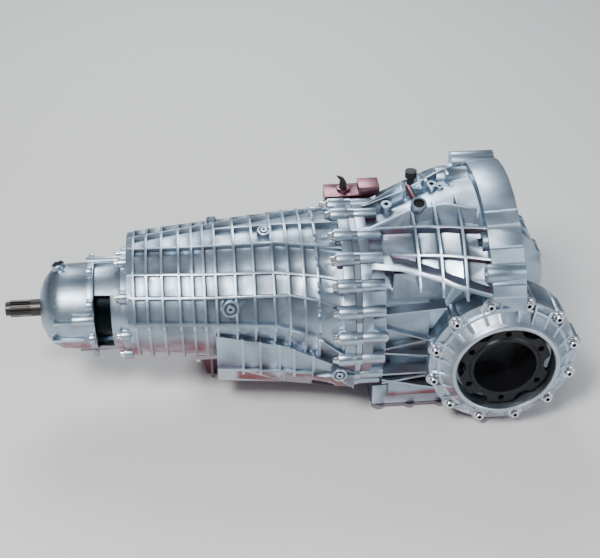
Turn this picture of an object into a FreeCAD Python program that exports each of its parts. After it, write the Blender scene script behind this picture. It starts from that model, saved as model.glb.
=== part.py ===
"""Longitudinal transaxle gearbox housing, with what is bolted and fitted to it. Millimetres.

+X runs along the shafts towards the engine, +Z is up, and -Y is the right-hand side of the box.
The origin is on the shaft axis, in the face that bolts to the engine.
"""
import FreeCAD, Part
import os
from math import cos, pi, radians, sin

# ---- stations along the shaft axis
BELL_FACE_X = 0.0          # face that bolts to the engine
BELL_LENGTH = 200.0        # bell housing, face to bearing plate
PLATE_THICK = 8.0          # bearing plate between bell and main case
CASE_LENGTH = 292.0        # main case, plate to tail joint
PLATE_X = BELL_FACE_X - BELL_LENGTH            # front face of the bearing plate
CASE_X = PLATE_X - PLATE_THICK                 # front face of the main case
TAIL_X = CASE_X - CASE_LENGTH                  # front face of the tail housing

# ---- castings
BODY_Z = 2.0               # height of the castings' round bodies above the shaft axis
WALL = 6.0                 # wall of every main casting
RIB_THICK = 3.2
CASE_RIB_HEIGHT = 6.0
SUMP_RIB_HEIGHT = 4.0
BELL_RIB_HEIGHT = 15.0
RIM_WIDTH = 42.0           # band behind the engine face
RIM_WALL = 9.0
BODY_SIDES = 36            # flats round each ribbed casting, which keep its mesh light
SMALL_SIDES = 10           # flats round bolt shanks and their holes, for the same reason
JOINT_R = 114.0            # round body at the joint
CASE_REAR_R = 89.0         # round body at the tail
BELL_FACE_R = 175.0
FLANGE_THICK = 14.0        # joint flanges of bell and main case
FLANGE_HEIGHT = 8.0        # how far those flanges stand out of the body
LOWER_HALF_WIDTH = 104.0   # bell below its ledge, between the differential covers
BELL_FLOOR_Z = -143.0
SHOULDER_Z = 88.0          # flat top of the lower half, under the ledge

# ---- differential, on an axis along Y
DIFF_X, DIFF_Z = -11.0, -40.0
COVER_JOINT_Y = 110.0      # distance of each cover's joint face from the shaft axis
COVER_BOLT_CIRCLE_R = 95.0
COVER_BOLTS = 12
COVER_FLANGE_R = 102.0
COVER_FLANGE_THICK = 8.0
COVER_FIRST_ANGLE = 15.0
COVER_RIBS = 24
COLLAR_R = 66.0            # opening round the drive flange
COLLAR_WALL = 5.0
COLLAR_END_Y = 139.0
BARREL_R = 99.0            # barrel of the bell housing that the cover closes
BARREL_DEPTH = 42.0
BARREL_WALL = 16.0
FLOOR_THICK = 7.0

# ---- shafts and what carries them
SEAT_CLEARANCE = 0.05      # radial running clearance of every shaft in its bearing and seal
FIT_CLEARANCE = 0.02       # radial clearance of a ring pressed or slipped into its seat
OUTPUT_SHAFT_R = 11.5
OUTPUT_SPLINE_LENGTH = 34.0
OUTPUT_TIP_X = -668.0
OUTPUT_PILOT_R = 9.5       # plain end in front of the spline
OUTPUT_PILOT_LENGTH = 6.0
INPUT_SHAFT_R = 14.0
INPUT_SPLINE_LENGTH = 40.0
INPUT_TIP_X = 0.0
BEARING_RING = 14.0        # radial size of a shaft bearing
BEARING_WIDTH = 16.0
SEAL_RING = 8.0
SEAL_WIDTH = 8.0
DRIVE_HUB_R = 47.0
DRIVE_CUP_R = 42.0
DRIVE_FLANGE_R = 61.0
DRIVE_PCD_R = 53.0
DRIVE_FACE_Y = 133.0
DRIVE_LOBES = 6
DRIVE_SEAL_RING = 6.0

# ---- fasteners
BOLT_R = 4.0               # M8 shank
BOLT_CLEARANCE = 0.2
BOLT_HEAD_R = 7.0
BOLT_HEAD_HEIGHT = 8.0
BOLT_BOSS_R = 10.0
JOINT_BOLT_OUT = 6.0       # joint bolts stand this far outside the round body
ENGINE_BOLT_R = 5.5        # clearance hole for M10
ENGINE_BOLT_Y, ENGINE_BOLT_Z = 88.0, 130.0
UPPER_BOLT_Y, UPPER_BOLT_Z = 127.0, 108.0
LOWER_BOLT_Y, LOWER_BOLT_Z = 60.0, -132.5      # between the barrels, in the thick lower edge

# ---- underside
REST_Z = -150.0            # lower faces of the pans, on which the box stands
GASKET_THICK = 1.2
SUMP_FLOOR_Z = -96.0
PAN_SEAT_Z = SUMP_FLOOR_Z - 6
PAN_X = (CASE_X - 212, CASE_X - 34)
PAN_Y = (6.0, 102.0)
PAN_LIP = 14.0
FRONT_PAN_X = (BELL_FACE_X - 176, BELL_FACE_X - 46)
FRONT_PAN_Y = (-72.0, 72.0)

X_AXIS = FreeCAD.Vector(1, 0, 0)
Y_AXIS = FreeCAD.Vector(0, 1, 0)
Z_AXIS = FreeCAD.Vector(0, 0, 1)

# A round body is a list of X, radius stations about the line Y = 0, Z = BODY_Z.
CASE_UPPER = [(TAIL_X, CASE_REAR_R), (CASE_X - 92, JOINT_R - 6), (CASE_X, JOINT_R)]
CASE_LOWER = [(TAIL_X, CASE_REAR_R - 22), (CASE_X - 92, JOINT_R - 28), (CASE_X, JOINT_R)]
BELL_UPPER = [(PLATE_X, JOINT_R), (PLATE_X + 112, BELL_FACE_R - 13),
              (BELL_FACE_X - RIM_WIDTH, BELL_FACE_R - 4), (BELL_FACE_X, BELL_FACE_R)]
# A ledge is a line of X, Z points: the wide upper body ends on it.
CASE_LEDGE = [(TAIL_X - 5, 29), (CASE_X - 105, 29), (CASE_X - 67, 18), (CASE_X - 46, 7), (CASE_X + 5, -36)]
BELL_LEDGE = [(PLATE_X - 5, 88), (PLATE_X + 50, 96), (PLATE_X + 100, 95), (BELL_FACE_X - RIM_WIDTH, 84),
              (BELL_FACE_X + 5, 66)]


# ---- shapes that several pieces share
def vec(x, y, z):
    return FreeCAD.Vector(x, y, z)


def along_x(radius, x_start, x_end, y=0.0, z=0.0):
    return Part.makeCylinder(radius, x_end - x_start, vec(x_start, y, z), X_AXIS)


def along_y(side, radius, y_inner, y_outer, x=DIFF_X, z=DIFF_Z):
    """Cylinder on one side of the box, between two distances from its middle plane."""
    return Part.makeCylinder(radius, y_outer - y_inner, vec(x, side * y_inner, z), Y_AXIS * side)


def stub(radius, start, end):
    """Cylinder between two points."""
    return Part.makeCylinder(radius, (end - start).Length, start, end - start)


def box(x_range, y_range, z_range):
    low, high = vec(x_range[0], y_range[0], z_range[0]), vec(x_range[1], y_range[1], z_range[1])
    return Part.makeBox(high.x - low.x, high.y - low.y, high.z - low.z, low)


def prism(points, direction):
    """Closed outline of points, extruded."""
    return Part.Face(Part.makePolygon(points + [points[0]])).extrude(direction)


def fuse_all(shapes):
    return shapes[0].multiFuse(shapes[1:]).removeSplitter()


def regular(sides, radius, centre, across, up):
    """Regular polygon wire whose flats touch a circle on the mean."""
    reach = radius / cos(pi / sides) ** 0.5
    points = [centre + across * dy + up * dz for dy, dz in on_circle(sides, reach, 180.0 / sides)]
    return Part.makePolygon(points + [points[0]])


def round_body(stations, grow=0.0, z=BODY_Z):
    """Many-sided cones end to end about a line along X, grown outwards by grow."""
    wires = [regular(BODY_SIDES, radius + grow, vec(x, 0, z), Y_AXIS, Z_AXIS) for x, radius in stations]
    return Part.makeLoft(wires, True, True)


def small_prism(radius, start, direction, length):
    """Bolt shank or bolt hole, with SMALL_SIDES flats."""
    across = Z_AXIS if abs(direction.z) < 0.5 else X_AXIS
    wire = regular(SMALL_SIDES, radius, start, across, direction.cross(across))
    return Part.Face(wire).extrude(direction * length)


def radius_at(stations, x):
    for (x0, r0), (x1, r1) in zip(stations, stations[1:]):
        if x <= x1 or x1 == stations[-1][0]:
            return r0 + (r1 - r0) * (x - x0) / (x1 - x0)


def slice_of(stations, x_start, x_end):
    """The part of a round body's stations between two X values."""
    inside = [row for row in stations if x_start < row[0] < x_end]
    return [(x_start, radius_at(stations, x_start))] + inside + [(x_end, radius_at(stations, x_end))]


def ring(axis_point, axis, inner, outer, width):
    """Plain ring that starts at a point and runs along an axis."""
    return (Part.makeCylinder(outer, width, axis_point, axis)
            .cut(Part.makeCylinder(inner, width, axis_point, axis)))


def above(path, top=400.0):
    """Everything above a line that is given as X, Z points."""
    outline = [vec(x, -400, z) for x, z in path]
    return prism(outline + [vec(path[-1][0], -400, top), vec(path[0][0], -400, top)], vec(0, 800, 0))


def rib(path, roll, side, inwards=26.0, outwards=30.0, thick=RIB_THICK):
    """Blade that follows X, Y, Z points and stands in a direction raised by roll degrees.

    The path is given for the right-hand (-Y) half, side -1; side +1 gives its mirror image.
    """
    out = vec(0, side * cos(radians(roll)), sin(radians(roll)))
    across = vec(0, -side * sin(radians(roll)), cos(radians(roll)))
    points = [vec(x, -side * y, z) for x, y, z in path]
    reach = [point.dot(out) for point in points]
    start = out * (min(reach) - inwards)
    lower = [X_AXIS * p.x + across * (p.dot(across) - thick / 2) + start for p in points]
    upper = [X_AXIS * p.x + across * (p.dot(across) + thick / 2) + start for p in points]
    return prism(lower + upper[::-1], out * (max(reach) - min(reach) + inwards + outwards))


def ring_rib(x, y_range=(-300, 300), z_range=(-300, 300)):
    return box((x - RIB_THICK / 2, x + RIB_THICK / 2), y_range, z_range)


def on_circle(count, radius, first=0.0):
    """Points spread evenly on a circle, as pairs of offsets from its centre."""
    angles = [radians(first + 360.0 * step / count) for step in range(count)]
    return [(radius * cos(angle), radius * sin(angle)) for angle in angles]


def hex_bolt(seat, direction, shank, head_r=BOLT_HEAD_R, height=BOLT_HEAD_HEIGHT, shank_r=BOLT_R):
    """Flanged hexagon bolt: the head stands on its seat, the shank goes into the work."""
    side = Y_AXIS if abs(direction.y) < 0.5 else Z_AXIS
    third = direction.cross(side)
    corners = [side * dy + third * dz + seat for dy, dz in on_circle(6, head_r)]
    head = prism(corners, direction * height)
    return head.fuse(small_prism(shank_r, seat, -direction, shank))


def splined(radius, teeth, x_start, x_end, depth=1.6):
    """Straight-sided external spline along X."""
    outline = []
    for tooth in range(teeth):
        for share, reach in ((0.05, radius - depth), (0.25, radius), (0.6, radius), (0.8, radius - depth)):
            angle = radians(360.0 * (tooth + share) / teeth)
            outline.append(vec(x_start, reach * cos(angle), reach * sin(angle)))
    return prism(outline, vec(x_end - x_start, 0, 0))


# ---- joint between bell housing, bearing plate and main case
JOINT_BOLT_ANGLES = [88, 108, 125, 142, 158, 175, 192, 210, 228, 252, 282, 310, 335, 0, 25, 50, 70]


def joint_bolt_places():
    """Y, Z of the joint bolts, on a circle at the edge of the round body."""
    reach = JOINT_R + JOINT_BOLT_OUT
    return [(reach * cos(radians(angle)), BODY_Z + reach * sin(radians(angle)))
            for angle in JOINT_BOLT_ANGLES]


# ---- main case
CASE_RING_X = [-491, -474, -454, -432, -415, -400, -385, -360, -336, -311, -292, -272, -254]
SUMP_RING_X = [-354, -331, -306, -287, -262]
SUMP_STATIONS = [(CASE_X - 180, 84, -1, -50), (CASE_X - 90, 95, -15, -52), (CASE_X - 30, 108, -38, -60),
                 (CASE_X, 114, -50, -78)]


def case_body(grow):
    """Upper body, wide down to the ledge, on a narrower lower body."""
    ledge = [(x, z - grow) for x, z in CASE_LEDGE]
    return round_body(CASE_UPPER, grow).common(above(ledge)).fuse(round_body(CASE_LOWER, grow))


def sump_body(grow):
    """Sump along the lower half, with a sloping shelf and a keel-like lower edge."""
    wires = []
    for x, half_width, shelf, ridge in SUMP_STATIONS:
        w, top, edge, floor = half_width + grow, shelf + grow, ridge - grow, SUMP_FLOOR_Z - grow
        outline = [vec(x, -w, top), vec(x, -w, edge), vec(x, -w + 26, floor), vec(x, w - 6, floor),
                   vec(x, w, edge), vec(x, w, top)]
        wires.append(Part.makePolygon(outline + [outline[0]]))
    return Part.makeLoft(wires, True, True)


def main_case():
    blades = [ring_rib(x) for x in CASE_RING_X]
    for side in (-1, 1):
        blades.append(rib([(-498, -12, 89), (-397, -25, 97), (-306, -33, 103), (-212, -53, 102)], 75, side))
        blades.append(rib([(-498, -48, 78), (-398, -60, 81), (-309, -68, 84), (-254, -78, 83),
                           (-212, -88, 78)], 45, side))
        blades.append(rib([(-498, -69, 58), (-400, -78, 59), (-291, -87, 63), (-256, -95, 58),
                           (-212, -106, 44)], 25, side))
        blades.append(rib([(x, -90, z + RIB_THICK / 2) for x, z in CASE_LEDGE], 0, side, 40))
    blades.append(rib([(-385, 8, 101), (-331, 3, 104), (-286, -1, 107), (-212, -10, 109)], 90, -1))
    skin = case_body(CASE_RIB_HEIGHT).cut(case_body(-WALL / 2))
    grid = [skin.common(blades[0].multiFuse(blades[1:]))]
    sump_blades = [ring_rib(x, (-300, -70), (-66, 60)) for x in SUMP_RING_X]
    sump_blades.append(box((CASE_X - 180, CASE_X), (-300, -70), (-56, -52)))
    sump_envelope = sump_body(SUMP_RIB_HEIGHT)
    grid += [sump_envelope.common(blade) for blade in sump_blades]
    solids = [case_body(0.0), sump_body(0.0)] + grid + [
              round_body(slice_of(CASE_UPPER, CASE_X - FLANGE_THICK, CASE_X), FLANGE_HEIGHT),
              case_body(5.0).common(box((TAIL_X, TAIL_X + 9), (-300, 300), (-300, 300))),
              box(PAN_X, PAN_Y, (PAN_SEAT_Z, SUMP_FLOOR_Z + 30))]
    for y, z in joint_bolt_places():
        solids.append(along_x(BOLT_BOSS_R, CASE_X - 22, CASE_X, y, z))
    # round test and filler bosses on the right-hand wall
    solids.append(stub(10.5, vec(-368, -60, 40), vec(-368, -100, 54)))
    solids.append(stub(9.0, vec(-319, -8, 80), vec(-319, -12, 113)))
    solids.append(stub(6.5, vec(-387, 30, 80), vec(-387, 36, 106)))
    solids.append(stub(10.0, vec(-229, -90, -46), vec(-229, -122, -46)))
    head_clear = [along_x(BOLT_HEAD_R + 1.5, CASE_X - 54, CASE_X - 22, y, z) for y, z in joint_bolt_places()]
    bolt_walls = [along_x(BOLT_HEAD_R + 5, CASE_X - 58, CASE_X, y, z) for y, z in joint_bolt_places()]
    inside = box((TAIL_X + WALL, CASE_X + 1), (-300, 300), (-300, 300))
    hollow = case_body(-WALL).fuse(sump_body(-WALL)).common(inside)
    cuts = head_clear + [hollow.cut(bolt_walls),
            box((PAN_X[0] + PAN_LIP, PAN_X[1] - PAN_LIP), (PAN_Y[0] + PAN_LIP, PAN_Y[1] - PAN_LIP),
                (PAN_SEAT_Z - 1, SUMP_FLOOR_Z + 20)),
            along_x(40, TAIL_X - 1, TAIL_X + WALL + 1)]
    cuts += [small_prism(BOLT_R + BOLT_CLEARANCE, vec(CASE_X - 40, y, z), X_AXIS, 41)
             for y, z in joint_bolt_places()]
    cuts += [small_prism(TAIL_BOLT_SHANK_R + BOLT_CLEARANCE, vec(TAIL_X - 1, y, z), X_AXIS, WALL)
             for y, z in tail_bolt_places()]
    # the pan's seat is milled flat through the ribs that reach it
    cuts.append(box((PAN_X[0] - 1, PAN_X[1] + 1), (PAN_Y[0] - 1, PAN_Y[1] + 1),
                    (PAN_SEAT_Z - 30, PAN_SEAT_Z)))
    return fuse_all(solids).cut(cuts)


# ---- bell housing
CLUTCH_COVER_X = PLATE_X + 34
BELL_RING_X = [-128, -101, -72]
BREATHER_SEAT = (-115.0, 60.0, 129.0)          # top of the pad on the roof that carries the breather


def lower_bell(inset):
    """Flat-sided lower half between the covers, with rounded lower edges."""
    half = LOWER_HALF_WIDTH - inset
    top = SHOULDER_Z - max(0.0, inset - BELL_RIB_HEIGHT)
    outer = box((PLATE_X + 28 + inset, BELL_FACE_X), (-half, half), (BELL_FLOOR_Z + inset, top))
    low_edges = [edge for edge in outer.Edges
                 if abs(edge.BoundBox.ZLength) < 1 and abs(edge.BoundBox.YLength) < 1
                 and edge.CenterOfMass.z < 0]
    return outer.makeFillet(24.0, low_edges)


def bell_wall():
    """Wide bell down to the curved ledge, narrow between the two differential barrels below it."""
    upper = round_body(BELL_UPPER, -BELL_RIB_HEIGHT).common(above(BELL_LEDGE))
    throat = round_body([(PLATE_X, JOINT_R), (PLATE_X + 90, JOINT_R)], -12.0)
    return [upper, lower_bell(BELL_RIB_HEIGHT), throat]


def bell_cavity():
    """Inside of the bell: under the round roof, between the barrels, and the passage that joins them."""
    face, inset = BELL_FACE_X, BELL_RIB_HEIGHT + WALL
    half = LOWER_HALF_WIDTH - inset
    roof = round_body(BELL_UPPER, -inset)
    rim = round_body(slice_of(BELL_UPPER, face - RIM_WIDTH + WALL, face), -RIM_WALL)
    floor = [(x, z + WALL) for x, z in BELL_LEDGE]
    throat = round_body([(PLATE_X, JOINT_R), (PLATE_X + 90, JOINT_R)], -12.0 - WALL)
    passage = box((PLATE_X + 40, face), (-half, half), (40, 300))
    cavity = roof.common(above(floor)).multiFuse([rim.common(above(floor)), roof.common(passage),
                                                 lower_bell(inset), throat])
    keep = [along_y(side, BARREL_R, COVER_JOINT_Y - BARREL_DEPTH, COVER_JOINT_Y + 5) for side in (-1, 1)]
    keep += [along_x(ENGINE_BOLT_R + 6, face - RIM_WIDTH, face, y, z) for y, z in engine_bolt_places()]
    return cavity.cut(keep)


def engine_bolt_places():
    return [(side * y, z) for side in (-1, 1) for y, z in
            ((ENGINE_BOLT_Y, ENGINE_BOLT_Z), (UPPER_BOLT_Y, UPPER_BOLT_Z), (LOWER_BOLT_Y, LOWER_BOLT_Z))]


def cover_bolt_places():
    return [(DIFF_X + dx, DIFF_Z + dz)
            for dx, dz in on_circle(COVER_BOLTS, COVER_BOLT_CIRCLE_R, COVER_FIRST_ANGLE)]


def bell_blades(side):
    """Ribs of one half of the bell housing, before they are trimmed to its outline."""
    blades = [
        rib([(-198, -22, 112), (-163, -36, 121), (-134, -49, 129), (-101, -65, 138), (-70, -76, 143),
             (-38, -84, 146)], 60, side),
        rib([(-160, -75, 110), (-130, -89, 116), (-106, -99, 121), (-38, -121, 125)], 50, side),
        rib([(x, -120, z + RIB_THICK) for x, z in BELL_LEDGE[:-1]], 0, side, 60, 50, 5.0),
        rib([(-198, 30, 110), (-134, 28, 133), (-92, 41, 146), (-50, 62, 149)], 75, side),
        rib([(-198, -122, 36), (-148, -116, 40), (-90, -116, 44)], 0, side, 30, 60)]
    for x in BELL_RING_X:
        blades.append(ring_rib(x, sorted((side * 25, side * 200)), (80, 300)))
    # fan of crossing ribs between the joint bosses and the differential barrel
    for start_z, end_z in ((28, -12), (-20, -34), (-24, -2), (-60, -60), (-62, -88), (-80, -62)):
        blades.append(rib([(PLATE_X, -118, start_z), (-95, -112, end_z)], 0, side, 30, 40, 2.8))
    return blades


def bell_housing():
    face = BELL_FACE_X
    blades = bell_blades(-1) + bell_blades(1)
    limits = round_body(BELL_UPPER).common(above([(PLATE_X - 5, 60), (face + 5, 60)]))
    low_limits = box((PLATE_X + 30, DIFF_X - 70), (-COVER_JOINT_Y, COVER_JOINT_Y), (BELL_FLOOR_Z, 60)).fuse(
        round_body([(PLATE_X, JOINT_R), (PLATE_X + 30, JOINT_R)], FLANGE_HEIGHT))
    grid = [limits.common(blade) for blade in blades] + [low_limits.common(blade) for blade in blades]
    solids = bell_wall() + [piece for piece in grid if piece.Volume > 1.0] + [
              round_body(slice_of(BELL_UPPER, face - RIM_WIDTH, face)).common(above(BELL_LEDGE)),
              lower_bell(0.0).common(box((face - RIM_WIDTH, face), (-300, 300), (-300, 300))),
              round_body([(PLATE_X, JOINT_R), (PLATE_X + FLANGE_THICK, JOINT_R)], FLANGE_HEIGHT),
              along_x(JOINT_R, PLATE_X, PLATE_X + 32, 0, BODY_Z),
              box((FRONT_PAN_X[0], FRONT_PAN_X[1]), FRONT_PAN_Y, (BELL_FLOOR_Z, -110)),
              stub(9, vec(-119, -10, 110), vec(-119, -26, 150)),
              stub(7, vec(-155, 17, 100), vec(-155, 12, 129)),
              stub(6.5, vec(-94, 27, 120), vec(-94, 22, 151)),
              along_x(15, face - 84, face - RIM_WIDTH + 2, 50, 145),
              along_x(14, face - 58, face, 80, 152),
              Part.makeCylinder(10.5, 20, vec(*BREATHER_SEAT) - Z_AXIS * 20)]
    for y, z in joint_bolt_places():
        solids.append(along_x(BOLT_BOSS_R - 2, PLATE_X, PLATE_X + 30, y, z))
    for y, z in engine_bolt_places():
        solids.append(along_x(ENGINE_BOLT_R + 7, face - RIM_WIDTH - 6, face, y, z))
    for side in (-1, 1):
        solids.append(along_y(side, BARREL_R, COVER_JOINT_Y - BARREL_DEPTH, COVER_JOINT_Y))
        solids += [along_y(side, BOLT_BOSS_R - 1, COVER_JOINT_Y - 24, COVER_JOINT_Y, x, z)
                   for x, z in cover_bolt_places()]
    cuts = [bell_cavity(), Part.makeCylinder(9.5, 40, vec(*BREATHER_SEAT))]
    for side in (-1, 1):
        cuts.append(along_y(side, BARREL_R - BARREL_WALL, COVER_JOINT_Y - BARREL_DEPTH + FLOOR_THICK,
                            COVER_JOINT_Y + 5))
        cuts += [small_prism(BOLT_R + BOLT_CLEARANCE, vec(x, side * (COVER_JOINT_Y + 1), z), Y_AXIS * -side, 19)
                 for x, z in cover_bolt_places()]
    cuts += [along_x(ENGINE_BOLT_R, face - RIM_WIDTH - 10, face + 1, y, z) for y, z in engine_bolt_places()]
    cuts += [small_prism(BOLT_R + BOLT_CLEARANCE, vec(PLATE_X - 1, y, z), X_AXIS, 25)
             for y, z in joint_bolt_places()]
    seat = ring(vec(CLUTCH_COVER_X + 2, 0, 0), X_AXIS, 74, JOINT_R - 12, 7)
    return fuse_all(solids).cut(cuts).fuse(seat).removeSplitter()


# ---- bearing plate between the two castings
def bearing_plate():
    """Steel plate of the joint's outline, which carries the front bearing of the input shaft."""
    disc = regular(BODY_SIDES, JOINT_R + FLANGE_HEIGHT, vec(CASE_X, 0, BODY_Z), Y_AXIS, Z_AXIS)
    plate = Part.Face(disc).extrude(X_AXIS * PLATE_THICK)
    ears = [along_x(BOLT_BOSS_R - 1, CASE_X, PLATE_X, y, z) for y, z in joint_bolt_places()]
    holes = [small_prism(BOLT_R + BOLT_CLEARANCE, vec(CASE_X - 1, y, z), X_AXIS, PLATE_THICK + 2)
             for y, z in joint_bolt_places()]
    holes.append(along_x(INPUT_SHAFT_R + BEARING_RING + FIT_CLEARANCE, CASE_X - 1, PLATE_X + 1))
    return fuse_all([plate] + ears).cut(holes)


# ---- input shaft, its bearing, seal and cover
CLUTCH_COVER_THICK = 5.0
CLUTCH_COVER_R = 84.0


def input_shaft():
    """Splined at the engine end, stepped at the bearing in the plate."""
    tip = INPUT_TIP_X
    body = [along_x(INPUT_SHAFT_R, CASE_X - 14, tip - INPUT_SPLINE_LENGTH),
            along_x(INPUT_SHAFT_R + 5, PLATE_X + 12, CLUTCH_COVER_X - 6),
            splined(INPUT_SHAFT_R, 20, tip - INPUT_SPLINE_LENGTH, tip - 6),
            along_x(INPUT_SHAFT_R - 4, tip - 6, tip)]
    return fuse_all(body)


def input_bearing():
    return ring(vec(CASE_X - 2, 0, 0), X_AXIS, INPUT_SHAFT_R + SEAT_CLEARANCE, INPUT_SHAFT_R + BEARING_RING,
                PLATE_THICK + 4)


def clutch_cover():
    """Dished cover inside the bell, round the input shaft, seated on the bell's throat wall."""
    x, thick = CLUTCH_COVER_X, CLUTCH_COVER_THICK
    inner = INPUT_SHAFT_R + SEAL_RING + FIT_CLEARANCE
    profile = [(x, inner), (x + 12, inner), (x + 12, inner + 6), (x + thick, inner + 12), (x + thick, 62),
               (x + 14, 70), (x + 14, CLUTCH_COVER_R), (x + 9, CLUTCH_COVER_R), (x + 9, 67), (x, 60)]
    points = [vec(px, 0, r) for px, r in profile]
    return Part.Face(Part.makePolygon(points + [points[0]])).revolve(vec(0, 0, 0), X_AXIS, 360)


def input_seal():
    return ring(vec(CLUTCH_COVER_X + 2, 0, 0), X_AXIS, INPUT_SHAFT_R + SEAT_CLEARANCE,
                INPUT_SHAFT_R + SEAL_RING, SEAL_WIDTH)


# ---- tail housing with the rear output
TAIL_LENGTH = 119.0
DRUM_R = 58.0
TAIL_WALL = 5.0
WINDOW_X = (TAIL_X - 46, TAIL_X - 24)
TAIL_FLANGE_R = 66.0
TAIL_BOLTS = 8
TAIL_BOLT_CIRCLE_R = 68.0
TAIL_BOLT_SHANK_R = 3.0
TAIL_BEARING_X = TAIL_X - TAIL_LENGTH + 12
COUPLING_R = 44.0


def tail_bolt_places():
    return on_circle(TAIL_BOLTS, TAIL_BOLT_CIRCLE_R, 3)


def turned(profile):
    """Profile of X, radius points turned round the shaft axis."""
    points = [vec(x, 0, r) for x, r in profile]
    return Part.Face(Part.makePolygon(points + [points[0]])).revolve(vec(0, 0, 0), X_AXIS, 360)


def tail_housing():
    """Domed drum on a windowed neck; the windows leave four struts and show the coupling inside."""
    back = TAIL_X - TAIL_LENGTH
    bore = OUTPUT_SHAFT_R + BEARING_RING + FIT_CLEARANCE
    seal_bore = OUTPUT_SHAFT_R + SEAL_RING + FIT_CLEARANCE
    inner = DRUM_R - TAIL_WALL
    profile = [(back, seal_bore), (back, 27), (back + 6, 40), (back + 14, 50), (back + 26, DRUM_R - 1.5),
               (back + 40, DRUM_R), (WINDOW_X[0] - 8, DRUM_R), (WINDOW_X[0] - 8, DRUM_R + 3),
               (WINDOW_X[0], DRUM_R + 3), (WINDOW_X[0] + 2, DRUM_R - 1), (WINDOW_X[1], DRUM_R),
               (TAIL_X - 10, DRUM_R + 3), (TAIL_X - 10, TAIL_FLANGE_R), (TAIL_X, TAIL_FLANGE_R),
               (TAIL_X, DRUM_R), (WINDOW_X[1], inner - 4), (WINDOW_X[0] - 4, inner),
               (back + 34, inner - 2), (TAIL_BEARING_X + BEARING_WIDTH + 2, 30),
               (TAIL_BEARING_X + BEARING_WIDTH + 2, bore), (TAIL_BEARING_X, bore), (TAIL_BEARING_X, seal_bore)]
    solids = [turned(profile)]
    for y, z in on_circle(TAIL_BOLTS, DRUM_R + 4, 10):
        solids.append(along_x(8, WINDOW_X[0] - 8, WINDOW_X[0] - 1, y, z))
    for y, z in tail_bolt_places():
        solids.append(along_x(8, TAIL_X - 12, TAIL_X, y, z))
    # carrying arms along the top and the lower right-hand side, a spear-shaped rib and a boss
    solids.append(along_x(6.5, TAIL_X - 56, TAIL_X, 18, 58))
    solids.append(along_x(6.0, TAIL_X - 72, TAIL_X, -24, -52))
    solids.append(along_x(6.0, TAIL_X - 72, TAIL_X, 30, -50))
    solids.append(along_x(8.5, TAIL_X - 74, WINDOW_X[0], -DRUM_R + 2, 16))
    solids.append(box((back + 20, TAIL_X - 60), (-DRUM_R - 3, -COUPLING_R - 4), (12, 16)))
    solids.append(box((back + 16, TAIL_X - 62), (-DRUM_R - 2, -COUPLING_R - 4), (-16, -12)))
    solids.append(stub(9, vec(back + 30, 10, 40), vec(back + 26, 12, 59)))
    housing = fuse_all(solids)
    cuts = [small_prism(TAIL_BOLT_SHANK_R + BOLT_CLEARANCE, vec(TAIL_X - 13, y, z), X_AXIS, 14)
            for y, z in tail_bolt_places()]
    cuts += [along_x(inner - 4, WINDOW_X[0] - 4, TAIL_X + 1),
            stub(6.5, vec(back + 30, 10, 46), vec(back + 25.5, 12.4, 63))]
    for y_range, z_range in (((-90, -8), (-38, 42)), ((30, 90), (-36, 36))):
        cuts.append(box(WINDOW_X, y_range, z_range))
    return housing.cut(cuts)


def output_shaft():
    """Propeller-shaft output: a coupling drum, a bearing seat and an external spline."""
    start = OUTPUT_TIP_X + OUTPUT_SPLINE_LENGTH
    body = [turned([(TAIL_X - 12, 0), (TAIL_X - 12, 20), (WINDOW_X[1] + 4, COUPLING_R),
                    (TAIL_X - 62, COUPLING_R), (TAIL_X - 68, 26), (TAIL_BEARING_X + BEARING_WIDTH + 4, 18),
                    (TAIL_BEARING_X + BEARING_WIDTH + 4, OUTPUT_SHAFT_R), (start, OUTPUT_SHAFT_R), (start, 0)]),
            splined(OUTPUT_SHAFT_R, 18, OUTPUT_TIP_X + OUTPUT_PILOT_LENGTH, start),
            along_x(OUTPUT_PILOT_R, OUTPUT_TIP_X, OUTPUT_TIP_X + OUTPUT_PILOT_LENGTH)]
    return fuse_all(body)


def output_bearing():
    return ring(vec(TAIL_BEARING_X, 0, 0), X_AXIS, OUTPUT_SHAFT_R + SEAT_CLEARANCE,
                OUTPUT_SHAFT_R + BEARING_RING, BEARING_WIDTH)


def output_seal():
    return ring(vec(TAIL_X - TAIL_LENGTH + 1, 0, 0), X_AXIS, OUTPUT_SHAFT_R + SEAT_CLEARANCE,
                OUTPUT_SHAFT_R + SEAL_RING, SEAL_WIDTH)


# ---- differential covers and drive flanges, one set on each side
def turned_across(side, profile):
    """Profile of radius, distance-from-middle points turned round the differential axis."""
    points = [vec(DIFF_X + r, side * y, DIFF_Z) for r, y in profile]
    return Part.Face(Part.makePolygon(points + [points[0]])).revolve(vec(DIFF_X, 0, DIFF_Z), Y_AXIS, 360)


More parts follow.
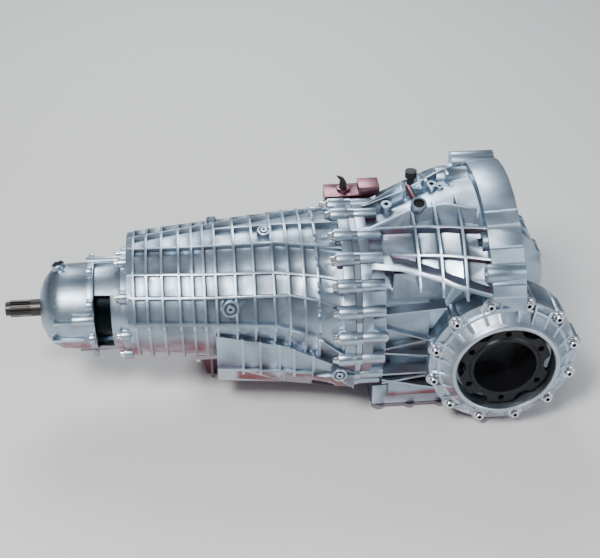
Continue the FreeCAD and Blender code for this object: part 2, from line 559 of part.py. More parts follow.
def differential_cover(side):
    """Conical cover with a collar round the drive flange, radial ribs and twelve bolt lugs."""
    face, top = COVER_JOINT_Y, COVER_JOINT_Y + COVER_FLANGE_THICK
    seal_bore = DRIVE_HUB_R + DRIVE_SEAL_RING + FIT_CLEARANCE
    spigot_r = BARREL_R - BARREL_WALL - 0.3
    collar_out = COLLAR_R + COLLAR_WALL
    profile = [(seal_bore, face - 6), (spigot_r, face - 6), (spigot_r, face), (COVER_FLANGE_R - 3, face),
               (COVER_FLANGE_R - 3, top), (88, top), (collar_out + 5, COLLAR_END_Y - 8),
               (collar_out, COLLAR_END_Y), (COLLAR_R, COLLAR_END_Y), (COLLAR_R, face + 3), (seal_bore, face + 3)]
    solids = [turned_across(side, profile)]
    for x, z in cover_bolt_places():
        solids.append(along_y(side, BOLT_BOSS_R, face, top, x, z))
    centre = vec(DIFF_X, 0, DIFF_Z)
    for dx, dz in on_circle(COVER_RIBS, 1.0, COVER_FIRST_ANGLE + 7.5):
        out, across = vec(dx, 0, dz), vec(-dz, 0, dx) * 1.4
        blade = [centre + out * r + Y_AXIS * side * y for r, y in
                 ((collar_out - 1, top - 1), (96, top - 1), (96, top + 1.5), (collar_out + 4, COLLAR_END_Y - 6),
                  (collar_out - 1, COLLAR_END_Y - 6))]
        solids.append(prism([point - across for point in blade], across * 2))
    holes = [small_prism(BOLT_R + BOLT_CLEARANCE, vec(x, side * (top + 1), z), Y_AXIS * -side,
                         COVER_FLANGE_THICK + 2) for x, z in cover_bolt_places()]
    return fuse_all(solids).cut(holes)


def drive_flange(side):
    """Cup-shaped joint flange with six bolt lobes round a deep open bore."""
    face = DRIVE_FACE_Y
    profile = [(0, 84), (DRIVE_HUB_R, 84), (DRIVE_HUB_R, face - 12), (DRIVE_FLANGE_R, face - 12),
               (DRIVE_FLANGE_R, face - 2), (DRIVE_HUB_R + 1, face - 2), (DRIVE_HUB_R - 1, face),
               (DRIVE_CUP_R, face), (DRIVE_CUP_R, 92), (0, 92)]
    flange = turned_across(side, profile)
    cuts = []
    for dx, dz in on_circle(DRIVE_LOBES, DRIVE_FLANGE_R + 8, 60):
        cuts.append(along_y(side, 17, face - 13, face + 1, DIFF_X + dx, DIFF_Z + dz))
    for dx, dz in on_circle(DRIVE_LOBES, DRIVE_PCD_R, 30):
        cuts.append(along_y(side, BOLT_R + 0.3, face - 13, face + 1, DIFF_X + dx, DIFF_Z + dz))
    return flange.cut(cuts)


def drive_seal(side):
    return ring(vec(DIFF_X, side * (COVER_JOINT_Y - 5), DIFF_Z), Y_AXIS * side, DRIVE_HUB_R + SEAT_CLEARANCE,
                DRIVE_HUB_R + DRIVE_SEAL_RING, SEAL_WIDTH)


def drive_bearing(side):
    """Bearing behind the cover, in the barrel of the bell housing."""
    return ring(vec(DIFF_X, side * (COVER_JOINT_Y - 22), DIFF_Z), Y_AXIS * side,
                DRIVE_HUB_R + SEAT_CLEARANCE, BARREL_R - BARREL_WALL - FIT_CLEARANCE, 14)


# ---- pans under the main case and the bell housing
def oil_pan():
    """Ribbed tray under the left half of the main case."""
    floor, top = REST_Z, PAN_SEAT_Z - GASKET_THICK
    lip = box(PAN_X, PAN_Y, (top - PAN_LIP / 2, top))
    draft = 8.0
    wires = []
    for z, inset in ((top - 1, 9.0), (floor, 9.0 + draft)):
        x0, x1, y0, y1 = PAN_X[0] + inset, PAN_X[1] - inset, PAN_Y[0] + inset, PAN_Y[1] - inset
        points = [vec(x, y, z) for x, y in ((x0, y0), (x1, y0), (x1, y1), (x0, y1))]
        wires.append(Part.makePolygon(points + [points[0]]))
    tray = Part.makeLoft(wires, True, True)
    inset = PAN_LIP + draft
    hollow = box((PAN_X[0] + inset, PAN_X[1] - inset), (PAN_Y[0] + inset, PAN_Y[1] - inset),
                 (floor + 5, top + 1))
    ribs = [ring_rib(x, (PAN_Y[0] + 4, PAN_Y[1] - 4), (floor + 3, top - 1))
            for x in range(int(PAN_X[0]) + 24, int(PAN_X[1]) - 10, 22)]
    holes = [small_prism(3.2, vec(x, y, top + 1), -Z_AXIS, 12) for x, y in pan_bolt_places()]
    return fuse_all([lip, tray] + ribs).cut([hollow] + holes)


def pan_bolt_places():
    """X, Y of the screws round the oil pan."""
    x0, x1, y0, y1 = PAN_X[0] + 6, PAN_X[1] - 6, PAN_Y[0] + 6, PAN_Y[1] - 6
    along = [x0 + (x1 - x0) * step / 4 for step in range(5)]
    return [(x, y) for y in (y0, y1) for x in along]


def oil_pan_gasket():
    outer = box(PAN_X, PAN_Y, (PAN_SEAT_Z - GASKET_THICK, PAN_SEAT_Z))
    inner = box((PAN_X[0] + PAN_LIP, PAN_X[1] - PAN_LIP), (PAN_Y[0] + PAN_LIP, PAN_Y[1] - PAN_LIP),
                (PAN_SEAT_Z - 2, PAN_SEAT_Z + 1))
    holes = [small_prism(3.2, vec(x, y, PAN_SEAT_Z + 1), -Z_AXIS, 3) for x, y in pan_bolt_places()]
    return outer.cut([inner] + holes)


def front_pan_outline(z, inset=0.0):
    x0, x1 = FRONT_PAN_X[0] + inset, FRONT_PAN_X[1] - inset
    y0, y1 = FRONT_PAN_Y[0] + inset, FRONT_PAN_Y[1] - inset
    points = [vec(x0, y0, z), vec(x1 - 30, y0, z), vec(x1, y0 + 40, z), vec(x1, y1 - 40, z),
              vec(x1 - 30, y1, z), vec(x0, y1, z)]
    return points


def front_pan():
    top = BELL_FLOOR_Z - GASKET_THICK
    plate = prism(front_pan_outline(REST_Z), vec(0, 0, top - REST_Z))
    bosses = [Part.makeCylinder(8, top - REST_Z, vec(x, y, REST_Z)) for x, y in front_pan_bolt_places()]
    holes = [small_prism(3.2, vec(x, y, top + 1), -Z_AXIS, 12) for x, y in front_pan_bolt_places()]
    return fuse_all([plate] + bosses).cut(holes)


def front_pan_bolt_places():
    x0, x1 = FRONT_PAN_X[0] + 10, FRONT_PAN_X[1] - 34
    return [(x, y) for y in (FRONT_PAN_Y[0] + 3, FRONT_PAN_Y[1] - 3)
            for x in (x0, (x0 + x1) / 2, x1)]


def front_pan_gasket():
    return prism(front_pan_outline(BELL_FLOOR_Z - GASKET_THICK), vec(0, 0, GASKET_THICK))


# ---- small fittings
LEVER_X, LEVER_Y, LEVER_Z = -206.0, 66.0, 128.0     # foot of the lever on top of its tower
SPINDLE_R = 4.0
SPINDLE_LENGTH = 8.0


def selector_lever():
    """Hooked lever on a short upright spindle."""
    foot = vec(LEVER_X, LEVER_Y, LEVER_Z)
    outline = [(-5, 0), (5, 0), (4, 8), (0, 14), (-9, 18), (-4, 11), (-5, 6)]
    arm = prism([foot + vec(dx, -2.5, dz) for dx, dz in outline], vec(0, 5, 0))
    return fuse_all([arm, Part.makeCylinder(SPINDLE_R, SPINDLE_LENGTH + 2, foot - Z_AXIS * SPINDLE_LENGTH)])


def selector_housing():
    """Cast block across the joint on top, which carries the lever's spindle."""
    floor = LEVER_Z - 30
    block = box((LEVER_X - 26, LEVER_X + 24), (LEVER_Y - 22, LEVER_Y + 16), (floor, LEVER_Z - 4))
    tower = Part.makeCylinder(9, 29.7, vec(LEVER_X, LEVER_Y, floor))
    front = box((LEVER_X + 20, LEVER_X + 48), (LEVER_Y - 14, LEVER_Y + 12), (floor, LEVER_Z + 6))
    bore = Part.makeCylinder(SPINDLE_R + SEAT_CLEARANCE, SPINDLE_LENGTH + 3,
                             vec(LEVER_X, LEVER_Y, LEVER_Z - SPINDLE_LENGTH - 0.5))
    clear = [round_body([(CASE_X - 60, JOINT_R), (PLATE_X + 20, JOINT_R)], FLANGE_HEIGHT + 0.1),
             round_body(BELL_UPPER, 0.1), bore]
    clear += [along_x(BOLT_BOSS_R + 2, CASE_X - 60, PLATE_X + 60, y, z) for y, z in joint_bolt_places()]
    pieces = fuse_all([block, tower, front]).cut(clear).Solids
    return max(pieces, key=lambda piece: piece.Volume)


def breather():
    """Capped vent on the bell's roof."""
    base = vec(*BREATHER_SEAT) + Z_AXIS * 0.2
    return fuse_all([Part.makeCylinder(5, 16, base), Part.makeCylinder(8, 9, base + Z_AXIS * 14)])


def joint_bolts():
    seat = CASE_X - 22
    return [hex_bolt(vec(seat, y, z), -X_AXIS, 22 + PLATE_THICK + 20) for y, z in joint_bolt_places()]


def tail_bolts():
    seat = TAIL_X - 12
    return [hex_bolt(vec(seat, y, z), -X_AXIS, 12 + WALL - 2, 5.5, 6, TAIL_BOLT_SHANK_R)
            for y, z in tail_bolt_places()]


def cover_bolts(side):
    seat = side * (COVER_JOINT_Y + COVER_FLANGE_THICK)
    return [hex_bolt(vec(x, seat, z), Y_AXIS * side, COVER_FLANGE_THICK + 15) for x, z in cover_bolt_places()]


os.makedirs("parts", exist_ok=True)
PIECES = {
    "main_case": main_case(), "bell_housing": bell_housing(), "bearing_plate": bearing_plate(),
    "input_shaft": input_shaft(), "input_bearing": input_bearing(), "clutch_cover": clutch_cover(),
    "input_seal": input_seal(), "tail_housing": tail_housing(), "output_shaft": output_shaft(),
    "output_bearing": output_bearing(), "output_seal": output_seal(), "oil_pan": oil_pan(),
    "oil_pan_gasket": oil_pan_gasket(), "front_pan": front_pan(), "front_pan_gasket": front_pan_gasket(),
    "joint_bolts": Part.makeCompound(joint_bolts()), "tail_bolts": Part.makeCompound(tail_bolts()),
    "selector_lever": selector_lever(), "selector_housing": selector_housing(), "breather": breather(),
}
for side, word in ((-1, "right"), (1, "left")):
    PIECES["differential_cover_" + word] = differential_cover(side)
    PIECES["drive_flange_" + word] = drive_flange(side)
    PIECES["drive_seal_" + word] = drive_seal(side)
    PIECES["drive_bearing_" + word] = drive_bearing(side)
    PIECES["cover_bolts_" + word] = Part.makeCompound(cover_bolts(side))
for name, shape in PIECES.items():
    shape.exportStep("parts/%s.step" % name)
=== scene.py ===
"""Longitudinal transaxle gearbox housing: finish, small details, light and camera. Metres.

+X runs along the shafts towards the engine, +Z is up, and -Y is the right-hand side of the box.
"""
from math import cos, pi, radians, sin

import bmesh
import bpy
from mathutils import Matrix, Vector
import numpy as np

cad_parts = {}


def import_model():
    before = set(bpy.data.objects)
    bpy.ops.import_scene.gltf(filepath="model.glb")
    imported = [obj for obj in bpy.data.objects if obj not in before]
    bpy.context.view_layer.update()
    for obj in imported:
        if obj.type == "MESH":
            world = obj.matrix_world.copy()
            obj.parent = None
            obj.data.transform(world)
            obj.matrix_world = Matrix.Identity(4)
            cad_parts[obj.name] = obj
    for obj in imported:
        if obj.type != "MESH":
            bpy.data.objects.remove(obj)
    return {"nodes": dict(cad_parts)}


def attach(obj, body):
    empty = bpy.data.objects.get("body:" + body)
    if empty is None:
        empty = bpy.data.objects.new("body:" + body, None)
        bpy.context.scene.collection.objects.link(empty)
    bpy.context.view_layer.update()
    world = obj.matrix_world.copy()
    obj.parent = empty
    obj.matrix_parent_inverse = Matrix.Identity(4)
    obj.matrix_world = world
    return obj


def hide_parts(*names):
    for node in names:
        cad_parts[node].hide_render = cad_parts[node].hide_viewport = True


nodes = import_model()["nodes"]
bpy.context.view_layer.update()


# ---- main case
# The ribbed casting in the middle of the box, in aluminium alloy, blasted after casting so that it is
# matt and a little cloudy. Screws hold its front flange to the bell, and its back carries the tail.
# The mould rounds every edge. What faces down and what faces +Y gets a darker reddish tint, the corners get
# painted shade, and the outer edges are brightened, partly as rubbed metal and partly as a painted highlight.
class Field:
    """A socket of a material's nodes. An expression on fields adds its Math nodes."""

    def __init__(self, finish, socket):
        self.finish = finish
        self.socket = socket

    def math(self, operation, other):
        return self.finish.node("ShaderNodeMath", {"operation": operation}, {0: self, 1: other}, 0)

    def __add__(self, other):
        return self.math("ADD", other)

    def __mul__(self, other):
        return self.math("MULTIPLY", other)

    __radd__ = __add__
    __rmul__ = __mul__

    def ramp(self, low, high, out_low=0.0, out_high=1.0):
        """Smooth step from out_low at low to out_high at high."""
        return self.finish.node("ShaderNodeMapRange", {"interpolation_type": "SMOOTHSTEP"},
                                {"Value": self, "From Min": low, "From Max": high,
                                 "To Min": out_low, "To Max": out_high}, "Result")


class Finish:
    """A material with one Principled shader. Its patterns read object space."""

    def __init__(self, name, colour, metallic, roughness):
        self.material = bpy.data.materials.new(name)
        self.material.use_nodes = True
        self.material.diffuse_color = (*colour, 1)
        self.tree = self.material.node_tree
        self.shader = self.tree.nodes["Principled BSDF"]
        self.feed("Base Color", (*colour, 1))
        self.feed("Metallic", metallic)
        self.feed("Roughness", roughness)

    def plug(self, slot, value):
        """Link a field to a socket, or set the socket's value."""
        if isinstance(value, Field):
            self.tree.links.new(value.socket, slot)
        else:
            slot.default_value = value

    def node(self, kind, settings, sockets, result):
        """Result of a new node: its settings are set first, then its sockets' values or links."""
        made = self.tree.nodes.new(kind)
        for name, value in settings.items():
            setattr(made, name, value)
        for name, value in sockets.items():
            self.plug(made.inputs[name], value)
        return Field(self, made.outputs[result])

    def feed(self, name, value):
        self.plug(self.shader.inputs[name], value)

    def noise(self, scale, detail, stretch=(1, 1, 1)):
        """Noise between 0 and 1; scale counts features per metre."""
        point = self.node("ShaderNodeTexCoord", {}, {}, "Object")
        spread = self.node("ShaderNodeMapping", {}, {"Vector": point, "Scale": stretch}, "Vector")
        return self.node("ShaderNodeTexNoise", {}, {"Vector": spread, "Scale": scale, "Detail": detail},
                         "Fac")

    def along(self, source, axis):
        """X, Y or Z of the point, from source Object, or of the surface's direction, from Normal."""
        vector = self.node("ShaderNodeTexCoord", {}, {}, source)
        return self.node("ShaderNodeSeparateXYZ", {}, {"Vector": vector}, axis)

    def edges(self):
        """High on outer edges and low in corners, about 0.5 on flat faces."""
        return self.node("ShaderNodeNewGeometry", {}, {}, "Pointiness")

    def colours(self, ground, *coats):
        """A ground colour under coats of (colour, amount), each over what came before."""
        under = (*ground, 1)
        for paint, amount in coats:
            under = self.node("ShaderNodeMix", {"data_type": "RGBA"},
                              {"Factor": amount, "A": under, "B": (*paint, 1)}, "Result")
        self.feed("Base Color", under)

    def bump(self, height, strength, distance):
        self.feed("Normal", self.node("ShaderNodeBump", {}, {"Height": height, "Strength": strength,
                                                             "Distance": distance}, "Normal"))


def cast_finish(name, colour, reddish_tint):
    """Blasted alloy: darker in clouds, painted shade in corners, outer edges brightened as rubbed metal and
    painted highlight, and a darker reddish tint where it faces down and where it faces +Y.
    """
    finish = Finish(name, colour, 1.0, 0.4)
    cloud = finish.noise(22, 4)
    grain = finish.noise(900, 2)
    below = finish.along("Normal", "Z").ramp(0.0, -0.5)
    far_side = finish.along("Normal", "Y").ramp(0.25, 0.9, 0.0, 0.6)
    faces_down_or_far_side = below.math("MAXIMUM", far_side)
    dark = tuple(0.55 * channel for channel in colour)
    # colour of the outer edges, partly rubbed metal and partly painted highlight
    edge_wear_and_highlight = tuple(min(1.0, 1.7 * channel) for channel in colour)
    # the reddish tint, and the colour of the painted shade in corners
    reddish, painted_corner_shade = (0.26, 0.06, 0.08), (0.05, 0.06, 0.08)
    finish.colours(colour,
                   (dark, 0.8 * cloud.ramp(0.44, 0.66)),
                   # darker reddish tint where the surface faces down and where it faces +Y
                   (reddish, reddish_tint * (faces_down_or_far_side * cloud.ramp(0.35, 0.6, 0.45, 1.0))),
                   # painted shade: corners, where pointiness is low, are darkened
                   (painted_corner_shade, 0.75 * finish.edges().ramp(0.49, 0.40)),
                   # painted highlight on outer edges, where pointiness is high, also standing for rubbed
                   # metal
                   (edge_wear_and_highlight, 0.8 * finish.edges().ramp(0.52, 0.60)))
    finish.feed("Roughness", cloud.ramp(0.3, 0.7, 0.30, 0.46))
    finish.bump(grain + 0.6 * cloud, 0.35, 0.0006)
    return finish.material


def paint(material, *names):
    """Give CAD nodes one material."""
    for name in names:
        shell = nodes[name].data
        shell.materials.clear()
        shell.materials.append(material)


def soften(mesh, sharpest, turn_outwards=False):
    """Shade a mesh smooth, except over edges that bend by more than sharpest degrees."""
    work = bmesh.new()
    work.from_mesh(mesh)
    if turn_outwards:
        bmesh.ops.recalc_face_normals(work, faces=work.faces)
    for face in work.faces:
        face.smooth = True
    for edge in work.edges:
        if len(edge.link_faces) == 2 and edge.calc_face_angle(0.0) > radians(sharpest):
            edge.smooth = False
    work.to_mesh(mesh)
    work.free()


def rounded_casting(node, mould_radius, material):
    """Copy of a CAD node with clean flat faces, rounded edges and smooth round bodies."""
    paint(cast_alloy, node)
    mesh = nodes[node].data.copy()
    work = bmesh.new()
    work.from_mesh(mesh)
    bmesh.ops.remove_doubles(work, verts=work.verts, dist=0.00002)
    bmesh.ops.dissolve_limit(work, angle_limit=radians(0.6), verts=work.verts, edges=work.edges)
    work.to_mesh(mesh)
    work.free()
    piece = bpy.data.objects.new(node + "_cast", mesh)
    bpy.context.scene.collection.objects.link(piece)
    bevel = piece.modifiers.new("mould radius", "BEVEL")
    bevel.limit_method = "ANGLE"
    bevel.angle_limit = radians(32)
    bevel.width = mould_radius
    bevel.segments = 2
    bevel.use_clamp_overlap = True
    bevel.miter_outer = "MITER_ARC"
    shape = bpy.data.meshes.new_from_object(piece.evaluated_get(bpy.context.evaluated_depsgraph_get()))
    piece.modifiers.clear()
    piece.data = shape
    soften(shape, 40)
    shape.materials.clear()
    shape.materials.append(material)
    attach(piece, "housing")
    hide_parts(node)


cast_alloy = cast_finish("cast_alloy", (0.37, 0.46, 0.545), 1.0)
rounded_casting("main_case", 0.0008, cast_alloy)


# ---- bell housing
# The wide front casting round the clutch, of the same alloy. Its rim bolts to the engine, its back
# flange to the main case, and the barrel on each side carries a differential cover.
rounded_casting("bell_housing", 0.0010, cast_alloy)


# ---- tail housing
# The small domed casting at the back, of the same alloy. It carries the output shaft's bearing and
# seal, and a ring of small screws holds it to the main case.
rounded_casting("tail_housing", 0.0009, cast_alloy)


# ---- differential covers
# The round ribbed cover on each side, a cleaner and paler casting that is spigoted into its barrel
# and held by twelve screws. Its collar carries the seal of the drive flange.
cover_alloy = cast_finish("cover_alloy", (0.44, 0.51, 0.585), 0.8)
rounded_casting("differential_cover_right", 0.0010, cover_alloy)
rounded_casting("differential_cover_left", 0.0010, cover_alloy)


# ---- selector housing
# The small block on the roof that guides the selector lever, cast in the same alloy and screwed down.
# Oil has darkened it.
dirty_alloy = cast_finish("dirty_alloy", (0.22, 0.11, 0.13), 0.9)
rounded_casting("selector_housing", 0.0012, dirty_alloy)


# ---- oil pan and front pan
# Shallow pans that close the case and the bell from below, and on which the box stands. They are the
# dirtiest pieces, so their alloy is dark.
pan_alloy = cast_finish("pan_alloy", (0.27, 0.24, 0.28), 1.0)
rounded_casting("oil_pan", 0.0010, pan_alloy)
rounded_casting("front_pan", 0.0008, pan_alloy)


# ---- clutch cover and bearing plate
# Flat alloy pieces, turned and milled, so a fine grain of cutting marks lies across them. The plate is
# clamped between bell and case, and the cover seats on a ring inside the bell.
machined = Finish("machined_alloy", (0.44, 0.52, 0.60), 1.0, 0.3)
machined.bump(machined.noise(500, 2, (1, 1, 14)), 0.15, 0.0003)
paint(machined.material, "clutch_cover", "bearing_plate")


# ---- input and output shaft
# Forged steel shafts with a spline at each end, dark with oil. Inside the tail the output shaft's colour is
# painted near black, a painted shade where no light falls.
def plain_finish(name, colour, metallic, roughness, spread, grain=0.2):
    """One even colour with darker clouds, a roughness that varies by spread, and a fine grain."""
    finish = Finish(name, colour, metallic, roughness)
    cloud = finish.noise(60, 3)
    finish.feed("Roughness", cloud.ramp(0.3, 0.7, roughness - spread, roughness + spread))
    dark = tuple(0.6 * channel for channel in colour)
    finish.colours(colour, (dark, cloud.ramp(0.5, 0.8)))
    finish.bump(finish.noise(1200, 2), grain, 0.0003)
    return finish.material


STEEL_COLOUR = (0.07, 0.065, 0.064)
TAIL_MOUTH_X = -0.612                 # painted shade makes the shaft fully dark from 12 mm inside this mouth
paint(plain_finish("shaft_steel", STEEL_COLOUR, 1.0, 0.38, 0.08), "input_shaft")
output_steel = Finish("output_steel", STEEL_COLOUR, 1.0, 0.4)
# painted shade: near black towards the engine from the tail's mouth
output_steel.colours(STEEL_COLOUR, ((0.006, 0.009, 0.011),
                                    output_steel.along("Object", "X").ramp(TAIL_MOUTH_X, -0.600)))
output_steel.bump(output_steel.noise(1200, 2), 0.2, 0.0003)
paint(output_steel.material, "output_shaft")


# ---- bearings
# Ball bearings in polished steel, pressed into the castings round each shaft. As no side shows their
# balls and cages, each is one plain ring.
paint(plain_finish("bearing_steel", (0.58, 0.58, 0.60), 1.0, 0.25, 0.05),
      "input_bearing", "output_bearing", "drive_bearing_right", "drive_bearing_left")


# ---- shaft seals
# Lip seals in black rubber, pressed in outside each bearing, where they keep the oil in.
paint(plain_finish("seal_rubber", (0.03, 0.028, 0.026), 0.0, 0.6, 0.08),
      "input_seal", "output_seal", "drive_seal_right", "drive_seal_left")


# ---- drive flanges
# Forged and turned steel flanges with six lobes, blackened against rust. Each turns in its cover, and
# a drive shaft bolts to it.
paint(plain_finish("blackened_steel", (0.018, 0.019, 0.022), 0.6, 0.34, 0.1),
      "drive_flange_right", "drive_flange_left")


# ---- selector lever and breather
# The hooked lever on its spindle, and the cap that lets air out of the box. Both are moulded in black
# plastic and pushed into their seats.
paint(plain_finish("black_plastic", (0.022, 0.022, 0.024), 0.0, 0.5, 0.08), "selector_lever", "breather")


# ---- screws of the main joint, the tail and the covers
# Flanged socket screws in zinc-plated steel. Their heads seat on the castings' flanges, and the socket is
# six-sided, coloured dark as painted shade.
BODY_Z = 0.002                        # height of the castings' round bodies above the shaft axis
DIFF_X, DIFF_Z = -0.011, -0.040       # differential axis
JOINT_SEAT_X, JOINT_CIRCLE_R = -0.230, 0.120
JOINT_ANGLES = [88, 108, 125, 142, 158, 175, 192, 210, 228, 252, 282, 310, 335, 0, 25, 50, 70]
TAIL_SEAT_X, TAIL_CIRCLE_R = -0.512, 0.068
TAIL_ANGLES = 3 + 45 * np.arange(8)
COVER_SEAT_Y, COVER_CIRCLE_R = 0.118, 0.095
COVER_ANGLES = 15 + 30 * np.arange(12)
M8_SHANK_R, M6_SHANK_R = 0.0040, 0.0030


def turned(profile, place, direction, steps=28, dark_row=None, corners=False, capped=True):
    """Profile of radius r and height h turned about an axis d through the place p.

    A point is p + h d + r (u cos t + v sin t), with u and v square to d and to each other. Rows from dark_row
    on are a bore whose faces take the second material, a painted shade. Where it has corners it is a hexagon,
    with r cos(pi/6) / cos((t mod pi/3) - pi/6) for r. A cap closes the last row.
    """
    axis = np.array(Vector(direction).normalized())
    u = np.array(Vector(direction).orthogonal().normalized())
    v = np.cross(axis, u)
    radius, height = np.array(profile, dtype=float).T
    rows = len(radius)
    in_bore = np.arange(rows) >= (rows if dark_row is None else dark_row)
    angle = 2 * pi * np.arange(steps) / steps
    outwards = np.cos(angle)[:, None] * u + np.sin(angle)[:, None] * v
    hexagon = cos(pi / 6) / np.cos(angle % (pi / 3) - pi / 6)
    reach = radius[:, None] * np.where(in_bore[:, None] & corners, hexagon, 1.0)
    points = np.array(place) + height[:, None, None] * axis + reach[:, :, None] * outwards
    row = steps * np.arange(rows - 1)[:, None]
    here = row + np.arange(steps)
    after = row + (np.arange(steps) + 1) % steps
    walls = np.stack([here, after, after + steps, here + steps], axis=-1).reshape(-1, 4)
    cap = steps * (rows - 1) + np.arange(steps)
    shades = np.append(np.repeat(in_bore[:-1], steps), in_bore[-1:] if capped else [])
    return points.reshape(-1, 3), [walls, cap[None, :]] if capped else [walls], shades.astype(np.int32)


def detail(name, shapes, materials, slot, stands_for=()):
    """One piece made of shapes, each of points, groups of faces and material numbers, on the housing."""
    faces = []
    start = 0
    for points, groups, shades in shapes:
        for group in groups:
            faces += (start + group).tolist()
        start += len(points)
    mesh = bpy.data.meshes.new(name)
    mesh.from_pydata(np.concatenate([points for points, groups, shades in shapes]), [], faces)
    for material in materials:
        mesh.materials.append(material)
    mesh.polygons.foreach_set("material_index", np.concatenate([shades for points, groups, shades in shapes]))
    soften(mesh, 35, turn_outwards=True)
    piece = bpy.data.objects.new(name, mesh)
    bpy.context.scene.collection.objects.link(piece)
    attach(piece, "housing")
    for node in stands_for:
        paint(materials[0], node)
        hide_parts(node)


def bolt(shank_radius, place, direction):
    """Flanged head with a socket, in shares of the shank's radius, seated at its place."""
    profile = [(1.95, -0.3), (1.95, 0.3), (1.8, 0.48), (1.42, 0.62), (1.38, 1.75), (1.25, 1.92), (0.82, 1.92),
               (0.74, 1.86), (0.72, 0.9)]
    # rows from 7 on are the socket, coloured with painted shade
    return turned(shank_radius * np.array(profile), place, direction, 30, 7, corners=True)


def on_circle(radius, degrees, centre):
    """Places c + r (cos t, sin t) for angles in degrees, anticlockwise."""
    angle = np.radians(degrees)
    return np.stack([centre[0] + radius * np.cos(angle), centre[1] + radius * np.sin(angle)], axis=-1)


plated_steel = plain_finish("plated_steel", (0.80, 0.82, 0.86), 1.0, 0.24, 0.06, 0.1)
# painted shade: a near-black material for the insides of sockets and bores
painted_socket_shade = plain_finish("painted_socket_shade", (0.02, 0.02, 0.024), 0.3, 0.6, 0.1)
screw_finish = [plated_steel, painted_socket_shade]
detail("joint_bolt_heads", [bolt(M8_SHANK_R, (JOINT_SEAT_X, y, z), (-1, 0, 0))
                            for y, z in on_circle(JOINT_CIRCLE_R, JOINT_ANGLES, (0, BODY_Z))],
       screw_finish, "plated_steel", ["joint_bolts"])
detail("tail_bolt_heads", [bolt(M6_SHANK_R, (TAIL_SEAT_X, y, z), (-1, 0, 0))
                           for y, z in on_circle(TAIL_CIRCLE_R, TAIL_ANGLES, (0, 0))],
       screw_finish, "plated_steel", ["tail_bolts"])
cover_screws = on_circle(COVER_CIRCLE_R, COVER_ANGLES, (DIFF_X, DIFF_Z))
for side, word in ((-1, "right"), (1, "left")):
    detail("cover_bolt_heads_" + word, [bolt(M8_SHANK_R, (x, side * COVER_SEAT_Y, z), (0, side, 0))
                                        for x, z in cover_screws],
           screw_finish, "plated_steel", ["cover_bolts_" + word])


# ---- screws of the oil pan
# Ten smaller screws of the same kind, in two rows along the pan's lip, driven upwards into the case.
PAN_SEAT_Z, PAN_ROWS_Y = -0.1102, (0.012, 0.096)
PAN_FIRST_X, PAN_PITCH = -0.414, 0.0415
pan_screws = [(PAN_FIRST_X + PAN_PITCH * step, y, PAN_SEAT_Z) for y in PAN_ROWS_Y for step in range(5)]
detail("pan_screw_heads", [bolt(0.0028, seat, (0, 0, -1)) for seat in pan_screws],
       screw_finish, "plated_steel")


# ---- plugs of the main case
# Plugs for filling and testing, turned in alloy and screwed into the round bosses of the case. Each has a
# raised ring, a sunk floor and a button with a socket in its middle, coloured dark as painted shade.
def ring_plug(radius, place, direction):
    profile = [(1.0, -0.2), (1.0, 0.16), (0.93, 0.22), (0.80, 0.22), (0.74, 0.16), (0.72, 0.04), (0.52, 0.04),
               (0.50, 0.26), (0.44, 0.32), (0.22, 0.32), (0.20, 0.30), (0.19, 0.1)]
    # rows from 10 on are the socket, coloured with painted shade
    return turned(radius * np.array(profile), place, direction, 36, 10, corners=True)


detail("case_plugs", [ring_plug(0.0108, (-0.368, -0.100, 0.054), (0, -40, 14)),
                      ring_plug(0.0092, (-0.319, -0.012, 0.113), (0, -4, 33)),
                      ring_plug(0.0067, (-0.387, 0.036, 0.106), (0, 6, 26)),
                      ring_plug(0.0098, (-0.229, -0.122, -0.046), (0, -1, 0))],
       [cast_alloy, painted_socket_shade], "cast_alloy")


# ---- bosses of the bell and the tail
# Round bosses cast with the roof and the side, faced off and drilled. The bores are coloured dark as painted
# shade, since nothing lights them.
def drilled(radius, bore, height, place, direction):
    profile = [(radius, -height), (radius, height), (radius * 0.93, height * 1.3), (bore * 1.1, height * 1.3),
               (bore, height), (bore, 0.0004)]
    # rows from 4 on are the bore, coloured with painted shade
    return turned(profile, place, direction, 32, 4)


detail("roof_bosses", [drilled(0.0105, 0.0068, 0.0045, (-0.119, -0.026, 0.150), (0, -16, 40)),
                       drilled(0.0074, 0.0030, 0.0020, (-0.155, 0.012, 0.129), (0, -5, 29)),
                       drilled(0.0070, 0.0030, 0.0020, (-0.094, 0.022, 0.151), (0, -5, 31)),
                       drilled(0.0088, 0.0066, 0.0020, (-0.593, 0.012, 0.059), (-4, 2, 19)),
                       drilled(0.0046, 0.0018, 0.0020, (-0.084, 0.016, 0.151), (0, -5, 31))],
       [cast_alloy, painted_socket_shade], "cast_alloy")
detail("side_bosses", [drilled(0.0075, 0.0035, 0.003, (-0.172, -0.112, 0.006), (0, -1, 0)),
                       drilled(0.0065, 0.0026, 0.003, (-0.134, -0.092, 0.020), (0, -1, 0.2))],
       [cast_alloy, painted_socket_shade], "cast_alloy")


# ---- tube of the release lever
# A short metal tube that is pushed into the largest boss of the roof and lies across it, stained with
# oil like the selector housing.
detail("release_tube", [turned([(0.0045, 0), (0.0042, 0.030), (0.0030, 0.032)], (-0.120, -0.018, 0.148),
                               (-0.25, 0.9, 0.3))], [dirty_alloy], "cast_alloy")


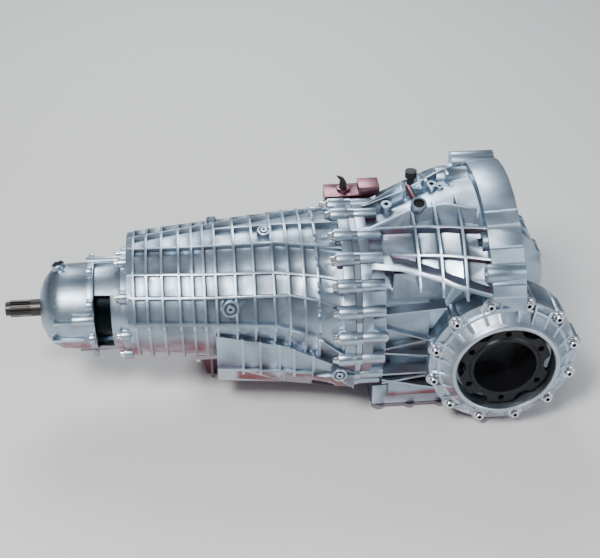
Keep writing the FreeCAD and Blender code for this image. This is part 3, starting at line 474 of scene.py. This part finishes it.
# ---- lips of the differential covers
# Two rings turned on each cover after casting: the lip of the collar, round the seal, and a low step
# round the ribs.
LIP = [(0.0664, 0.1385), (0.0664, 0.1396), (0.0672, 0.1403), (0.0702, 0.1403), (0.0714, 0.1394),
       (0.0716, 0.1375)]
STEP = [(0.0885, 0.1175), (0.0885, 0.1218), (0.0870, 0.1232), (0.0835, 0.1232), (0.0815, 0.1215)]
for side, word in ((-1, "right"), (1, "left")):
    rings = [turned(ring, (DIFF_X, 0, DIFF_Z), (0, side, 0), 96, capped=False) for ring in (LIP, STEP)]
    detail("cover_lip_" + word, rings, [cover_alloy], "cast_alloy")


# ---- gaskets
# Dark fibre sheet, cut to shape and clamped between two faces. The pans have one each, and on both
# sides of the bearing plate an edge stands just out of the joint.
gasket_paper = plain_finish("gasket_paper", (0.05, 0.05, 0.055), 0.0, 0.8, 0.05)
paint(gasket_paper, "oil_pan_gasket", "front_pan_gasket")
GASKET_EDGE = [(0.1215, -0.0004), (0.1227, -0.0004), (0.1227, 0.0004), (0.1215, 0.0004)]
detail("joint_gaskets", [turned(GASKET_EDGE, (x, 0, BODY_Z), (1, 0, 0), 108, capped=False)
                         for x in (-0.200, -0.208)], [gasket_paper], "gasket_paper")


# ---- steps on the bell's rim
# Raised pads cast with the band behind the engine face, where the rim is thicker for its bolts. Each
# is a thin shell over the rim.
RIM_X = np.array([-0.043, -0.042, -0.001, 0.0])
RIM_RADIUS = np.array([0.1700, 0.1710, 0.1748, 0.1740])
RIM_RAISED = np.array([False, True, True, False])
RIM_ROWS = 14


def rim_step(first, last, height):
    """Shell on the rim from angle first to last.

    A point at angle t is x, s cos t, BODY_Z + s sin t. Its radius s is the rim's plus the height, which
    fades to nothing over the last ninth at either end, and the outer two columns lie 1 mm deeper.
    """
    share = np.linspace(0, 1, RIM_ROWS + 1)[:, None]
    angle = np.radians(first + (last - first) * share)
    fade = np.minimum(1, 9 * np.minimum(share, 1 - share))
    reach = RIM_RADIUS + np.where(RIM_RAISED, height * fade, -0.001)
    points = np.stack(np.broadcast_arrays(RIM_X, reach * np.cos(angle), BODY_Z + reach * np.sin(angle)),
                      axis=-1)
    corner = 4 * np.arange(RIM_ROWS)[:, None] + np.arange(3)
    walls = np.stack([corner, corner + 1, corner + 5, corner + 4], axis=-1).reshape(-1, 4)
    return points.reshape(-1, 3), [walls], np.zeros(len(walls), np.int32)


detail("rim_steps", [rim_step(112, 121, 0.0022), rim_step(129, 138, 0.0028), rim_step(145, 151, 0.0026),
                     rim_step(29, 51, 0.0024)], [cast_alloy], "cast_alloy")


# ---- floor
# A wide pale painted floor, just under the pans, on which the box stands. It is only staging.
FLOOR_HALF, FLOOR_Z = 6, -0.1502
floor_mesh = bpy.data.meshes.new("floor")
corners = [(-FLOOR_HALF, -FLOOR_HALF, FLOOR_Z), (FLOOR_HALF, -FLOOR_HALF, FLOOR_Z),
           (FLOOR_HALF, FLOOR_HALF, FLOOR_Z), (-FLOOR_HALF, FLOOR_HALF, FLOOR_Z)]
floor_mesh.from_pydata(corners, [], [(0, 1, 2, 3)])
floor_mesh.materials.append(Finish("floor_paint", (0.80, 0.80, 0.79), 0.0, 0.7).material)
floor = bpy.data.objects.new("floor", floor_mesh)
bpy.context.scene.collection.objects.link(floor)


# ---- light
# A weak bluish room, and three square softboxes: a warm key over the right-hand side, a cool fill from
# the engine's end and one behind that lights the far edges.
world = bpy.data.worlds.new("studio")
world.use_nodes = True
room = world.node_tree.nodes["Background"]
room.inputs["Color"].default_value = (0.70, 0.80, 0.92, 1)
room.inputs["Strength"].default_value = 0.22
bpy.context.scene.world = world


def softbox(name, place, target, size, watts, colour):
    """Square area light at its place, turned to the target."""
    data = bpy.data.lights.new(name, "AREA")
    data.size = size
    data.energy = watts
    data.color = colour
    light = bpy.data.objects.new(name, data)
    aim = (Vector(target) - Vector(place)).to_track_quat("-Z", "Y")
    light.matrix_world = Matrix.Translation(place) @ aim.to_matrix().to_4x4()
    bpy.context.scene.collection.objects.link(light)


softbox("key", (-1.1, -1.3, 1.9), (-0.3, 0, 0), 0.6, 64, (1.0, 0.98, 0.96))
softbox("fill", (1.4, -1.2, 0.9), (-0.2, 0, 0), 1.0, 16, (0.88, 0.94, 1.0))
softbox("back", (-0.4, 1.6, 1.5), (-0.3, 0, 0), 1.0, 30, (0.94, 0.97, 1.0))


# ---- camera
# It stands to the right of the box, 35 degrees above it and turned by 5 degrees, with a long lens.
turn, lift = radians(-5), radians(35)
right = Vector((cos(turn), sin(turn), 0))
back = Vector((sin(turn) * cos(lift), -cos(turn) * cos(lift), sin(lift)))
up = back.cross(right)
camera_data = bpy.data.cameras.new("camera")
camera_data.lens = 73.44
camera_data.sensor_width = 36.0
camera = bpy.data.objects.new("camera", camera_data)
camera.matrix_world = (Matrix.Translation((-0.3893, -1.3578, 0.9796))
                       @ Matrix((right, up, back)).transposed().to_4x4())
bpy.context.scene.collection.objects.link(camera)
bpy.context.scene.camera = camera
